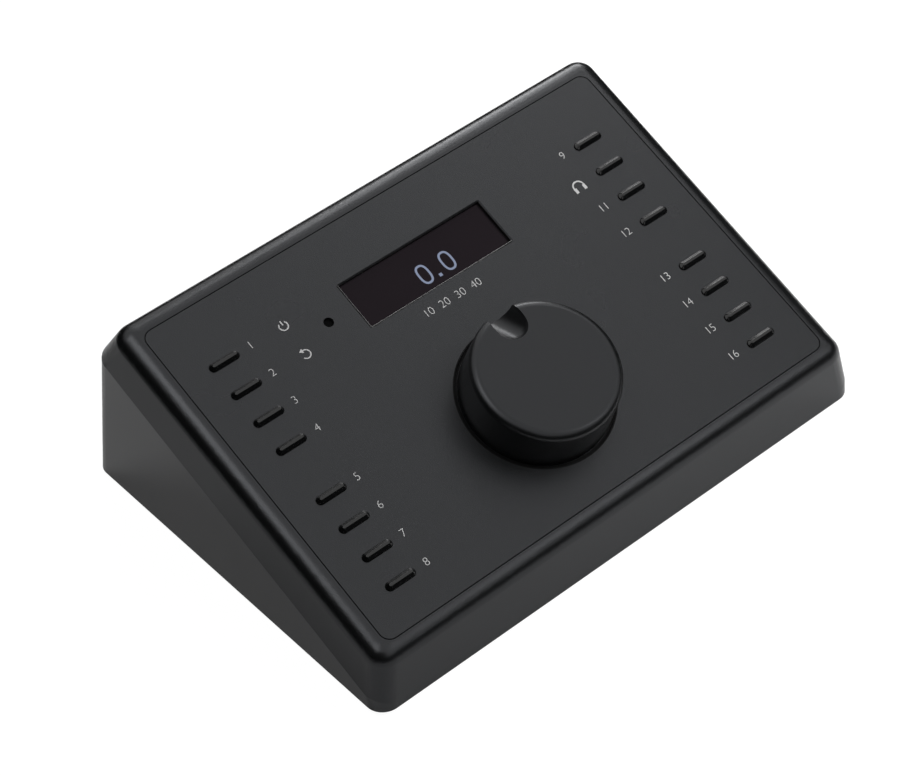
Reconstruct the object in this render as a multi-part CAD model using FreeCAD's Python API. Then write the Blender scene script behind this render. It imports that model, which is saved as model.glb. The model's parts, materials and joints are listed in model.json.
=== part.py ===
"""Desktop studio monitor controller: a wedge-shaped housing with a sloping control panel.

Lengths are in millimetres. The row frame has +Z up, +X to the user's right and +Y away from the user,
with its origin on the desk under the middle of the object. The control panel has a frame of its own:
x to the right, y up the slope from the panel's front edge, z out of the panel's face.
"""
import FreeCAD, Part
import math
import os
from FreeCAD import Placement, Rotation, Vector

# Housing, built round the control panel
SIDE_MARGIN = 8.15               # panel's edge to the outside of the side wall
BACK_MARGIN = 29.68              # panel's rear edge to the housing's rear foot, level
PANEL_FRONT_HEIGHT = 20.4        # panel's front edge above the housing's underside
PANEL_SLOPE = 24.0               # degrees
RIM_SIDE = 5.15                  # panel edge to the side walls' planes, in the panel's plane
RIM_BACK = 5.65
RIM_FRONT = 4.0
RIM_ROUND = 5.5
CORNER_MARGIN = 0.1              # upright corners rounder than the rim
BAND_DRAFT = 11.4                # the band below the rim, out from the panel's normal, degrees
FRONT_DRAFT = 1.9                # front wall out from the vertical, degrees
BACK_DRAFT = 16.1                # back wall out from the vertical, degrees
WALL = 2.5
FOOT_HEIGHT = 1.5
FOOT_RADIUS = 6.0
FOOT_INSET_X = 18.0              # foot centres in from the housing's sides, front and back
FOOT_INSET_Y = 10.5

# Control panel
PANEL_WIDTH = 160.4
PANEL_DEPTH = 108.2
PANEL_THICKNESS = 2.0
PANEL_CORNER = 3.0
PANEL_CLEARANCE = 0.3
LEDGE_WIDTH = 3.2
LEDGE_THICKNESS = 2.2
GASKET_THICKNESS = 0.2
STUD_RADIUS = 2.5
STUD_INSET = 28.2                # stud columns in from the panel's sides
STUD_EDGE = 8.0                  # stud rows in from the panel's front and back edges

# Keys
KEY_LENGTH = 9.6
KEY_WIDTH = 2.5
KEY_HEIGHT = 1.25                # above the panel's face
KEY_BEVEL = 0.88                 # bevel between a key's flat top and its side
KEY_EDGE_ROUND = 0.12            # rounding of the bevel's edges
KEY_CLEARANCE = 0.15
KEY_INSET = 14.1                 # key centres in from the panel's sides
KEY_PITCH = 10.0
KEY_GROUP_GAP = 17.5             # between the middle keys of a column
KEY_FIRST = 12.0                 # front key from the panel's front edge
KEYS_PER_GROUP = 4
KEY_TRAVEL = 0.5
KEY_FLANGE_MARGIN = 0.8
KEY_FLANGE_THICKNESS = 0.85
KEY_STEM_RADIUS = 1.6
KEY_ENGAGEMENT = 0.8             # stem inside the switch at rest

# Switches and key board
SWITCH_SIZE = 6.0
SWITCH_HEIGHT = 3.5
SWITCH_BORE_CLEARANCE = 0.2
KEY_BOARD_DEPTH = 8.0            # board's top face below the panel's face
KEY_BOARD_EDGE = 3.9             # board's edge in from the panel's edge
BOARD_THICKNESS = 1.6

# Display and sensor
DISPLAY_WIDTH = 51.2
DISPLAY_DEPTH = 15.5
DISPLAY_CORNER = 0.3
DISPLAY_Y = 83.5
DISPLAY_LIP = 2.0                # the window's bonded margin under the panel
WINDOW_THICKNESS = 1.2
WINDOW_RISE = 0.65               # the window's middle stands up into the panel's opening
WINDOW_CLEARANCE = 0.1
DISPLAY_CHAMFER = 0.35           # on the panel's edge round the display
SENSOR_GAP = 9.1                 # sensor's centre left of the display opening
SENSOR_RADIUS = 1.5
SENSOR_CLEARANCE = 0.05
SENSOR_DROP = 0.8
SENSOR_FLANGE = 1.0              # lens flange beyond its plug, all round
SENSOR_DIODE_SIZE = 4.0
STACK_GAP = 0.1                  # air between a window and what lies under it

# Knob
KNOB_Y = 34.4
KNOB_RADIUS = 22.0               # at its foot
KNOB_DRAFT = 2.2                 # side, in from the panel's normal, degrees
KNOB_HEIGHT = 15.3               # above the panel's face
KNOB_TOP_ROUND = 2.5
KNOB_FOOT_CHAMFER = 0.35
KNOB_SINK = 0.1                  # the knob's foot below the panel's face
KNOB_RIM_WALL = 2.4
KNOB_CROWN = 5.8                 # solid top above the hollow
KNOB_BOSS_WALL = 2.5
KNOB_TRAVEL = 0.5
SCOOP_INSET = 6.2                # centre of the scoop's round end in from the knob's side
SCOOP_RISE = 1.1                 # that centre above the knob's top
SCOOP_RADIUS = 4.85
SCOOP_SLOPE = 36.0               # the scoop runs down and outward, degrees
SCOOP_WALL = 2.2                 # left between the scoop and the hollow
KNOB_WELL_GAP = 1.0
KNOB_WELL_DEPTH = 0.8
KNOB_WELL_CHAMFER = 0.2

# Encoder under the knob
ENCODER_SIZE = 14.0
ENCODER_FLOOR = 0.8              # encoder's solid bottom under its push cup
BUSH_RADIUS = 4.5
BUSH_HEIGHT = 3.0                # bush's top above the panel's face
BUSH_HOLE_CLEARANCE = 0.2
SHAFT_RADIUS = 3.0
SHAFT_DROP = 0.2                 # shaft's end below the hub's top
SHAFT_FLAT = 0.5                 # depth of the flat on the shaft's upper end
SHAFT_FLAT_START = 3.6
RUNNING_CLEARANCE = 0.05
CUP_WALL = 0.5
CUP_FLOOR = 0.5
CUP_TOP_DROP = 0.4
CUP_REST_GAP = 0.3               # left under the cup when the knob is pressed in
HUB_WALL = 2.0
HUB_LENGTH = 7.0
HUB_CLEARANCE = 0.02
NUT_ACROSS_FLATS = 12.0
NUT_THICKNESS = 2.0

# Rear recess and panel
RECESS_SIDE = 8.35               # side walls' outside to the recess
RECESS_HEAD = 15.9               # recess ceiling below the panel's rear edge
RECESS_INSET = 16.2              # rear panel's face in from the housing's back edge
REAR_PANEL_THICKNESS = 1.5
REAR_PANEL_CLEARANCE = 0.2
REAR_LEDGE = 5.0                 # ledge around the rear opening, at the sides
REAR_LEDGE_Z = 3.0
REAR_SCREW_INSET = 2.6           # rear panel's screws in from the recess's sides
REAR_SCREW_EDGE_Z = 5.0
REAR_BOSS_RADIUS = 2.75
REAR_BOSS_LENGTH = 6.0

# Base plate, bosses and main board
BASE_THICKNESS = 2.0
BASE_CLEARANCE = 0.2
BOSS_RADIUS = 3.2
BOSS_INSET = 8.85                # boss columns in from the housing's sides
BOSS_FRONT = 8.4                 # front bosses behind the housing's front foot
BOSS_REAR = 33.5                 # rear bosses in front of its rear foot
BOSS_RIB = 1.6
MAIN_BOARD_SIDE_GAP = 4.3        # from the bosses
MAIN_BOARD_FRONT_GAP = 28.4      # from the housing's front foot
MAIN_BOARD_REAR_GAP = 4.7        # from the rear panel's inner face
SPACER_HEIGHT = 4.5
SPACER_RADIUS = 3.0
SPACER_INSET = 6.0               # in from the main board's side and front edges
SPACER_REAR_INSET = 22.0         # in from its rear edge, clear of the sockets

# Screws: shank radius, head radius, head height; holes take a named clearance
SMALL_SCREW = (0.98, 2.2, 1.3)
BASE_SCREW = (1.23, 2.6, 1.0)
SMALL_SCREW_GRIP = 4.5           # depth of a small screw's pilot hole
SCREW_END_GAP = 0.5              # between a screw's tip and its pilot hole's end
BASE_SCREW_GRIP = 9.0            # shank of a base screw inside its boss
PILOT_CLEARANCE = 0.02
SCREW_HOLE_CLEARANCE = 0.4

# Sockets on the rear panel
SOCKET_HOLE_CLEARANCE = 0.2
SOCKET_STAND_OUT = 0.4
SOCKET_END_GAP = 3.5             # sockets clear of the ledge at the recess's sides
POWER_BODY = (9.0, 14.0, 11.0)
POWER_BORE = 3.1
POWER_BORE_DEPTH = 10.0
POWER_PIN = 1.0
POWER_PIN_DROP = 1.0             # pin's end below the inlet's face
USB_BODY = (9.0, 8.0, 3.3)
USB_WALL = 0.35
USB_POCKET = 6.5
USB_TONGUE = 0.7
USB_TONGUE_DROP = 1.0            # tongue's end below the shell's mouth
NETWORK_BODY = (16.0, 18.0, 13.5)
NETWORK_MOUTH = (11.9, 12.5, 8.2)
NETWORK_MOUTH_FLOOR = 3.4
NETWORK_LATCH = (4.0, 1.8)
DIGITAL_Z = 27.0                 # axis above the housing's underside
DIGITAL_FLANGE = (26.0, 31.0, 2.0)
DIGITAL_FLANGE_CORNER = 3.0
DIGITAL_BARREL = 11.8
DIGITAL_BARREL_LENGTH = 18.0
DIGITAL_BORE = 9.7
DIGITAL_BORE_DEPTH = 14.0
DIGITAL_BLOCK_WIDTH = 18.0
DIGITAL_SCREW_OFFSET = (9.5, 12.0)
CONTACT_CIRCLE = 4.6
CONTACT_RADIUS = 1.2
CONTACT_LENGTH = 11.0
CONTACT_CLEARANCE = 0.25
INSERT_RADIUS = 8.3
INSERT_DROP = 1.0                # insert's face below the flange's face
JACK_BODY = (14.0, 24.0, 13.0)
HEADPHONE_DROP = 12.0            # axis below the recess's ceiling
JACK_NOSE = 4.9
JACK_NOSE_STAND_OUT = 3.2
JACK_BORE = 3.25
JACK_BORE_DEPTH = 22.0
JACK_NUT_ACROSS_FLATS = 12.0
JACK_NUT_THICKNESS = 2.0

# Heights and places that follow from the sizes above
BASE_Z = FOOT_HEIGHT
BASE_TOP = BASE_Z + BASE_THICKNESS
CORNER_ROUND = RIM_ROUND + CORNER_MARGIN
FRONT_DROP = PANEL_FRONT_HEIGHT - RIM_FRONT * math.sin(math.radians(PANEL_SLOPE))
FRONT_MARGIN = (RIM_FRONT * math.cos(math.radians(PANEL_SLOPE))
                + FRONT_DROP * math.tan(math.radians(FRONT_DRAFT)))
HOUSING_WIDTH = PANEL_WIDTH + 2 * SIDE_MARGIN
HOUSING_DEPTH = FRONT_MARGIN + PANEL_DEPTH * math.cos(math.radians(PANEL_SLOPE)) + BACK_MARGIN
HOUSING_FRONT = -HOUSING_DEPTH / 2
PANEL_ORIGIN = Vector(0, HOUSING_FRONT + FRONT_MARGIN, BASE_Z + PANEL_FRONT_HEIGHT)
PANEL_PLACE = Placement(PANEL_ORIGIN, Rotation(Vector(1, 0, 0), PANEL_SLOPE))
SENSOR_X = -DISPLAY_WIDTH / 2 - SENSOR_GAP
PANEL_SEAT = -PANEL_THICKNESS - GASKET_THICKNESS
LEDGE_UNDERSIDE = PANEL_SEAT - LEDGE_THICKNESS
BOARD_TOP = -KEY_BOARD_DEPTH
BOARD_UNDERSIDE = BOARD_TOP - BOARD_THICKNESS
FLANGE_TOP = -PANEL_THICKNESS - KEY_CLEARANCE
FLANGE_UNDERSIDE = FLANGE_TOP - KEY_FLANGE_THICKNESS
SWITCH_TOP = BOARD_TOP + SWITCH_HEIGHT
KEY_TIP = SWITCH_TOP - KEY_ENGAGEMENT
CUP_UNDERSIDE = BOARD_TOP + ENCODER_FLOOR + CUP_REST_GAP + KNOB_TRAVEL
KNOB_BOSS_UNDERSIDE = BUSH_HEIGHT + KNOB_TRAVEL + CUP_REST_GAP
HUB_RADIUS = SHAFT_RADIUS + HUB_WALL
HUB_TOP = KNOB_BOSS_UNDERSIDE + HUB_LENGTH
RECESS_WIDTH = HOUSING_WIDTH - 2 * RECESS_SIDE
REAR_FACE = HOUSING_DEPTH / 2 - RECESS_INSET
REAR_INNER = REAR_FACE - REAR_PANEL_THICKNESS
REAR_LEDGE_INNER = REAR_INNER - WALL
RECESS_FLOOR = BASE_Z + WALL
RECESS_CEILING = PANEL_ORIGIN.z + PANEL_DEPTH * math.sin(math.radians(PANEL_SLOPE)) - RECESS_HEAD
BOSS_X = HOUSING_WIDTH / 2 - BOSS_INSET
MAIN_BOARD_WIDTH = 2 * (BOSS_X - BOSS_RADIUS - MAIN_BOARD_SIDE_GAP)
MAIN_BOARD_FRONT = HOUSING_FRONT + MAIN_BOARD_FRONT_GAP
MAIN_BOARD_REAR = REAR_INNER - MAIN_BOARD_REAR_GAP
MAIN_BOARD_Z = BASE_TOP + SPACER_HEIGHT
MAIN_BOARD_TOP = MAIN_BOARD_Z + BOARD_THICKNESS
SOCKET_FACE = REAR_FACE + SOCKET_STAND_OUT
FAR = 200.0                      # past everything
OVER = 1.0                       # how far a cut runs past the face it opens
NEAR = 1e-6                      # lengths taken as equal
FULL_TURN = 360.0


def tan(degrees):
    """Tangent of an angle in degrees."""
    return math.tan(math.radians(degrees))


def cos(degrees):
    """Cosine of an angle in degrees."""
    return math.cos(math.radians(degrees))


def sin(degrees):
    """Sine of an angle in degrees."""
    return math.sin(math.radians(degrees))


def box(x, y, z):
    """A box from three (low, high) pairs."""
    return Part.makeBox(x[1] - x[0], y[1] - y[0], z[1] - z[0], Vector(x[0], y[0], z[0]))


def around(centre, size):
    """The (low, high) pair of a length centred on a place."""
    return (centre - size / 2, centre + size / 2)


def rod(x, y, z, radius):
    """A round bar along z, from z[0] to z[1]."""
    return Part.makeCylinder(radius, z[1] - z[0], Vector(x, y, z[0]))


def rod_y(x, y, z, radius):
    """A round bar along y, from y[0] to y[1]."""
    return Part.makeCylinder(radius, y[1] - y[0], Vector(x, y[0], z), Vector(0, 1, 0))


def rounded_wire(x, y, z, radius):
    """A rounded rectangle in a plane of constant z, from (low, high) pairs."""
    centre = Vector(sum(x) / 2, sum(y) / 2, z)
    half = [(x[1] - x[0]) / 2 - radius, (y[1] - y[0]) / 2 - radius]
    arcs = []
    for quarter in range(4):
        towards = Rotation(Vector(0, 0, 1), 90 * quarter)
        along, across = half[quarter % 2], half[1 - quarter % 2]
        corner = centre + towards.multVec(Vector(along, across, 0))
        spread = [towards.multVec(Vector(radius * cos(angle), radius * sin(angle), 0))
                  for angle in (0, 45, 90)]
        arcs.append([corner + step for step in spread])
    edges = []
    for arc, following in zip(arcs, arcs[1:] + arcs[:1]):
        edges.append(Part.Arc(*arc).toShape())
        if arc[2].distanceToPoint(following[0]) > NEAR:
            edges.append(Part.makeLine(arc[2], following[0]))
    return Part.Wire(edges)


def rounded_block(x, y, z, radius):
    """A rounded rectangle carried from z[0] to z[1]."""
    face = Part.Face(rounded_wire(x, y, z[0], radius))
    return face.extrude(Vector(0, 0, z[1] - z[0]))


def pill(x, y, z, length, width):
    """A bar with half-round ends, lying along x, carried from z[0] to z[1]."""
    return rounded_block(around(x, length), around(y, width), z, width / 2)


def hexagon(z, across_flats, bore):
    """A hexagonal nut on the z axis."""
    corner = across_flats / 2 / cos(30)
    points = [Vector(corner * cos(60 * k), corner * sin(60 * k), z[0]) for k in range(7)]
    block = Part.Face(Part.makePolygon(points)).extrude(Vector(0, 0, z[1] - z[0]))
    return block.cut(rod(0, 0, z, bore))


def on_panel(shape):
    """Moves a shape from the panel's frame to the row frame."""
    placed = shape.copy()
    placed.Placement = PANEL_PLACE.multiply(shape.Placement)
    return placed


def facing_rear(shape, x, y, z):
    """Turns a shape that points along +z to point along +y, and moves it to its place."""
    placed = shape.copy()
    placed.Placement = Placement(Vector(x, y, z), Rotation(Vector(1, 0, 0), -90)).multiply(shape.Placement)
    return placed


def join(shapes):
    """Fuses solids that touch or overlap into one."""
    return shapes[0].fuse(shapes[1:]).removeSplitter()


def edges_above(shape, z):
    """The level edges of a shape at or above a height."""
    return [edge for edge in shape.Edges
            if edge.BoundBox.ZMin > z - NEAR and edge.BoundBox.ZLength < NEAR]


def rise(face_z, places, screw, grip):
    """Screws whose heads lie under face_z and whose shanks point up, at the given places."""
    shank, head, head_height = screw
    return [rod(x, y, (face_z - head_height, face_z), head).fuse(rod(x, y, (face_z, face_z + grip), shank))
            .removeSplitter() for x, y in places]


# The housing

def band_form(inset, top):
    """Walls that follow the panel: drafted planes below the rim, in the panel's frame."""
    def outline(z):
        side = PANEL_WIDTH / 2 + RIM_SIDE - z * tan(BAND_DRAFT) - inset / cos(BAND_DRAFT)
        lean = PANEL_SLOPE + FRONT_DRAFT
        front = -RIM_FRONT + z * tan(lean) + inset / cos(lean)
        back = PANEL_DEPTH + RIM_BACK - z * tan(BAND_DRAFT) - inset / cos(BAND_DRAFT)
        return rounded_wire((-side, side), (front, back), z, CORNER_ROUND - inset)
    return Part.makeLoft([outline(top), outline(-FAR)], True, True)


def lower_form(inset, bottom):
    """The upright side walls, the leaning front wall and the leaning back wall."""
    def outline(z):
        side = HOUSING_WIDTH / 2 - inset
        front = HOUSING_FRONT + (z - BASE_Z) * tan(FRONT_DRAFT) + inset / cos(FRONT_DRAFT)
        back = HOUSING_DEPTH / 2 - (z - BASE_Z) * tan(BACK_DRAFT) - inset / cos(BACK_DRAFT)
        return rounded_wire((-side, side), (front, back), z, CORNER_ROUND - inset)
    return Part.makeLoft([outline(bottom), outline(PANEL_DEPTH)], True, True)


def housing_form(inset, top, bottom):
    """The housing's closed form, drawn in by inset on every wall."""
    return on_panel(band_form(inset, top)).common(lower_form(inset, bottom))


def rounded_band():
    """The outer band with its rim rounded over."""
    band = band_form(0, 0)
    return band.makeFillet(RIM_ROUND, edges_above(band, 0))


def rear_screw_places():
    """Places (x, z) of the rear panel's screws."""
    column = RECESS_WIDTH / 2 - REAR_SCREW_INSET
    return [(x, z) for x in (-column, column)
            for z in (RECESS_FLOOR + REAR_SCREW_EDGE_Z, RECESS_CEILING - REAR_SCREW_EDGE_Z)]


def base_screw_places():
    """Places (x, y) of the base screws and of the bosses that take them."""
    front = HOUSING_FRONT + BOSS_FRONT
    rear = -HOUSING_FRONT - BOSS_REAR
    return [(x, y) for x in (-BOSS_X, BOSS_X) for y in (front, (front + rear) / 2, rear)]


def housing_bosses():
    """Bosses inside the housing, with a rib from each tall one to the side wall."""
    bosses = []
    for x, y in base_screw_places():
        outward = math.copysign(HOUSING_WIDTH / 2, x)
        bosses.append(rod(x, y, (BASE_TOP, FAR), BOSS_RADIUS))
        bosses.append(box(sorted((x, outward)), around(y, BOSS_RIB), (BASE_TOP, FAR)))
    for x, z in rear_screw_places():
        bosses.append(rod_y(x, (REAR_LEDGE_INNER - REAR_BOSS_LENGTH, REAR_LEDGE_INNER), z, REAR_BOSS_RADIUS))
    return bosses


def upper_housing():
    """The shell: rounded band, walls, ledge for the panel, recess and bosses, with their holes."""
    outer = on_panel(rounded_band()).common(lower_form(0, BASE_Z))
    recess_block = box(around(0, RECESS_WIDTH + 2 * WALL), (REAR_LEDGE_INNER, FAR),
                       (BASE_Z, RECESS_CEILING + WALL))
    cavity = housing_form(WALL, LEDGE_UNDERSIDE, BASE_Z - OVER).cut([recess_block] + housing_bosses())
    half_width = PANEL_WIDTH / 2
    panel_seat = rounded_block(
        (-half_width - PANEL_CLEARANCE, half_width + PANEL_CLEARANCE),
        (-PANEL_CLEARANCE, PANEL_DEPTH + PANEL_CLEARANCE),
        (PANEL_SEAT, FAR), PANEL_CORNER + PANEL_CLEARANCE)
    cuts = [cavity, on_panel(panel_seat), on_panel(ledge_opening(LEDGE_UNDERSIDE - WALL, 0))]
    cuts.append(box(around(0, RECESS_WIDTH), (REAR_INNER, FAR), (RECESS_FLOOR, RECESS_CEILING)))
    cuts.append(box(around(0, RECESS_WIDTH - 2 * REAR_LEDGE), (REAR_LEDGE_INNER - OVER, REAR_INNER + OVER),
                    (RECESS_FLOOR + REAR_LEDGE_Z, RECESS_CEILING - REAR_LEDGE_Z)))
    for x, y in base_screw_places():
        cuts.append(rod(x, y, (BASE_TOP, BASE_TOP + BASE_SCREW_GRIP + SCREW_END_GAP),
                        BASE_SCREW[0] + PILOT_CLEARANCE))
    for x, z in rear_screw_places():
        cuts.append(rod_y(x, (REAR_INNER - SMALL_SCREW_GRIP - SCREW_END_GAP, REAR_INNER), z,
                          SMALL_SCREW[0] + PILOT_CLEARANCE))
    return outer.cut(cuts)


def ledge_opening(low, high):
    """The hole inside the ledge that carries the panel, in the panel's frame."""
    return rounded_block(around(0, PANEL_WIDTH - 2 * LEDGE_WIDTH), (LEDGE_WIDTH, PANEL_DEPTH - LEDGE_WIDTH),
                         (low, high), PANEL_CORNER)


def base_plate():
    """The plate inside the housing's walls, notched round the sill of the rear recess."""
    form = housing_form(WALL + BASE_CLEARANCE, LEDGE_UNDERSIDE, BASE_Z - OVER)
    slab = box(around(0, HOUSING_WIDTH), (-HOUSING_DEPTH, HOUSING_DEPTH), (BASE_Z, BASE_TOP))
    sill = box(around(0, RECESS_WIDTH + 2 * WALL + 2 * BASE_CLEARANCE),
               (REAR_LEDGE_INNER - BASE_CLEARANCE, FAR), (BASE_Z - OVER, BASE_TOP + OVER))
    plate = form.common(slab).cut(sill)
    shank, head, head_height = BASE_SCREW
    for x, y in base_screw_places():
        plate = plate.cut(rod(x, y, (BASE_Z - OVER, BASE_TOP + OVER), shank + SCREW_HOLE_CLEARANCE))
        plate = plate.cut(rod(x, y, (BASE_Z - OVER, BASE_Z + head_height), head + SCREW_HOLE_CLEARANCE))
    return plate


def base_screws():
    """The screws that hold the base plate, their heads sunk into it."""
    head_top = BASE_Z + BASE_SCREW[2]
    grip = BASE_TOP - head_top + BASE_SCREW_GRIP
    return Part.makeCompound(rise(head_top, base_screw_places(), BASE_SCREW, grip))


def rubber_feet():
    """Four round feet under the base plate."""
    xs = (-HOUSING_WIDTH / 2 + FOOT_INSET_X, HOUSING_WIDTH / 2 - FOOT_INSET_X)
    ys = (HOUSING_FRONT + FOOT_INSET_Y, -HOUSING_FRONT - FOOT_INSET_Y)
    return Part.makeCompound([rod(x, y, (0, FOOT_HEIGHT), FOOT_RADIUS) for x in xs for y in ys])


# The control panel and what shows in it

def stud_places():
    """Places (x, y) of the panel's studs, in the panel's frame."""
    rows = (STUD_EDGE, PANEL_DEPTH / 2, PANEL_DEPTH - STUD_EDGE)
    column = PANEL_WIDTH / 2 - STUD_INSET
    return [(x, y) for x in (-column, column) for y in rows]


def key_rows():
    """Distances of a column's keys from the panel's front edge, front key first."""
    front = [KEY_FIRST + KEY_PITCH * k for k in range(KEYS_PER_GROUP)]
    rear_start = front[-1] + KEY_GROUP_GAP
    return front + [rear_start + KEY_PITCH * k for k in range(KEYS_PER_GROUP)]


def key_column(side):
    """The x of a column: side is -1 for the left, 1 for the right."""
    return side * (PANEL_WIDTH / 2 - KEY_INSET)


def key_places():
    """Places (x, y) of all keys, in the panel's frame."""
    return [(key_column(side), y) for side in (-1, 1) for y in key_rows()]


def display_outline(margin, z):
    """The display opening's outline, widened by margin."""
    return rounded_wire(around(0, DISPLAY_WIDTH + 2 * margin), around(DISPLAY_Y, DISPLAY_DEPTH + 2 * margin),
                        z, DISPLAY_CORNER + margin)


def display_opening(margin, z):
    """The display opening carried from z[0] to z[1]."""
    return Part.Face(display_outline(margin, z[0])).extrude(Vector(0, 0, z[1] - z[0]))


def control_panel():
    """The flush panel with its studs and the openings for keys, display, sensor and knob."""
    plate = rounded_block(around(0, PANEL_WIDTH), (0, PANEL_DEPTH), (-PANEL_THICKNESS, 0), PANEL_CORNER)
    studs = [rod(x, y, (BOARD_TOP, -PANEL_THICKNESS), STUD_RADIUS) for x, y in stud_places()]
    plate = join([plate] + studs)
    through = (-PANEL_THICKNESS - OVER, OVER)
    cuts = [pill(x, y, through, KEY_LENGTH + 2 * KEY_CLEARANCE, KEY_WIDTH + 2 * KEY_CLEARANCE)
            for x, y in key_places()]
    cuts.append(display_opening(0, through))
    chamfer = [display_outline(0, -DISPLAY_CHAMFER), display_outline(2 * DISPLAY_CHAMFER, DISPLAY_CHAMFER)]
    cuts.append(Part.makeLoft(chamfer, True, True))
    cuts.append(rod(SENSOR_X, DISPLAY_Y, through, SENSOR_RADIUS))
    cuts.append(rod(0, KNOB_Y, through, BUSH_RADIUS + BUSH_HOLE_CLEARANCE))
    well = KNOB_RADIUS + KNOB_WELL_GAP
    cuts.append(rod(0, KNOB_Y, (-KNOB_WELL_DEPTH, OVER), well))
    cuts.append(Part.makeCone(well, well + KNOB_WELL_CHAMFER, KNOB_WELL_CHAMFER,
                              Vector(0, KNOB_Y, -KNOB_WELL_CHAMFER)))
    for x, y in stud_places():
        cuts.append(rod(x, y, (BOARD_TOP, BOARD_TOP + SMALL_SCREW_GRIP), SMALL_SCREW[0] + PILOT_CLEARANCE))
    return on_panel(plate.cut(cuts))


def panel_gasket():
    """The adhesive frame that holds the panel on the housing's ledge."""
    thickness = (PANEL_SEAT, -PANEL_THICKNESS)
    frame = rounded_block(around(0, PANEL_WIDTH), (0, PANEL_DEPTH), thickness, PANEL_CORNER)
    return on_panel(frame.cut(ledge_opening(PANEL_SEAT - OVER, 0)))


def display_window():
    """A clear window with a margin bonded under the panel and a middle that stands in its opening."""
    under = -PANEL_THICKNESS
    margin = display_opening(DISPLAY_LIP, (under - WINDOW_THICKNESS, under))
    middle = display_opening(-WINDOW_CLEARANCE, (under, under + WINDOW_RISE))
    return on_panel(join([margin, middle]))


def display_module():
    """The display behind the window."""
    top = -PANEL_THICKNESS - WINDOW_THICKNESS - STACK_GAP
    return on_panel(display_opening(DISPLAY_LIP / 2, (BOARD_TOP, top)))


def sensor_lens():
    """A clear plug with a flange that is bonded under the panel."""
    under = -PANEL_THICKNESS
    plug = rod(SENSOR_X, DISPLAY_Y, (under, -SENSOR_DROP), SENSOR_RADIUS - SENSOR_CLEARANCE)
    flange = rod(SENSOR_X, DISPLAY_Y, (under - WINDOW_THICKNESS, under), SENSOR_RADIUS + SENSOR_FLANGE)
    return on_panel(join([plug, flange]))


def sensor_diode():
    """The receiver behind the sensor's lens."""
    top = -PANEL_THICKNESS - WINDOW_THICKNESS - STACK_GAP
    size = SENSOR_DIODE_SIZE
    return on_panel(box(around(SENSOR_X, size), around(DISPLAY_Y, size), (BOARD_TOP, top)))


# Keys, switches and key board

def key(x, y):
    """A pill-shaped cap, its retaining flange and the stem that reaches into the switch."""
    cap = pill(x, y, (FLANGE_TOP, KEY_HEIGHT), KEY_LENGTH, KEY_WIDTH)
    cap = cap.makeChamfer(KEY_BEVEL, edges_above(cap, KEY_HEIGHT))
    cap = cap.makeFillet(KEY_EDGE_ROUND, edges_above(cap, KEY_HEIGHT - KEY_BEVEL))
    flange = pill(x, y, (FLANGE_UNDERSIDE, FLANGE_TOP),
                  KEY_LENGTH + 2 * KEY_FLANGE_MARGIN, KEY_WIDTH + 2 * KEY_FLANGE_MARGIN)
    stem = rod(x, y, (KEY_TIP, FLANGE_UNDERSIDE), KEY_STEM_RADIUS)
    return on_panel(join([cap, flange, stem]))


def key_switches():
    """One switch under each key, bored for the key's stem."""
    bore = KEY_STEM_RADIUS + SWITCH_BORE_CLEARANCE
    bore_floor = KEY_TIP - KEY_TRAVEL - KEY_CLEARANCE
    switches = []
    for x, y in key_places():
        body = box(around(x, SWITCH_SIZE), around(y, SWITCH_SIZE), (BOARD_TOP, SWITCH_TOP))
        switches.append(body.cut(rod(x, y, (bore_floor, SWITCH_TOP + OVER), bore)))
    return on_panel(Part.makeCompound(switches))


def key_board():
    """The board that carries the switches, the display and the encoder."""
    edge = KEY_BOARD_EDGE
    board = rounded_block(around(0, PANEL_WIDTH - 2 * edge), (edge, PANEL_DEPTH - edge),
                          (BOARD_UNDERSIDE, BOARD_TOP), PANEL_CORNER)
    through = (BOARD_UNDERSIDE - OVER, BOARD_TOP + OVER)
    holes = [rod(x, y, through, SMALL_SCREW[0] + SCREW_HOLE_CLEARANCE) for x, y in stud_places()]
    return on_panel(board.cut(holes))


def key_board_screws():
    """The screws from the board into the panel's studs."""
    grip = BOARD_THICKNESS + SMALL_SCREW_GRIP - SCREW_END_GAP
    return on_panel(Part.makeCompound(rise(BOARD_UNDERSIDE, stud_places(), SMALL_SCREW, grip)))


# Knob and encoder, modelled on the z axis and moved to the knob's place

def at_knob(shape):
    """Moves a shape from the z axis to the knob's place."""
    placed = shape.copy()
    placed.translate(Vector(0, KNOB_Y, 0))
    return on_panel(placed)


def scoop_tool(radius):
    """A round-ended bar that leaves the knob's top and runs down and outward through its side."""
    centre = Vector(0, KNOB_RADIUS - SCOOP_INSET, KNOB_HEIGHT + SCOOP_RISE)
    outward = Vector(0, cos(SCOOP_SLOPE), -sin(SCOOP_SLOPE))
    bar = Part.makeCylinder(radius, KNOB_RADIUS, centre, outward)
    return join([Part.makeSphere(radius, centre), bar])


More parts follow.
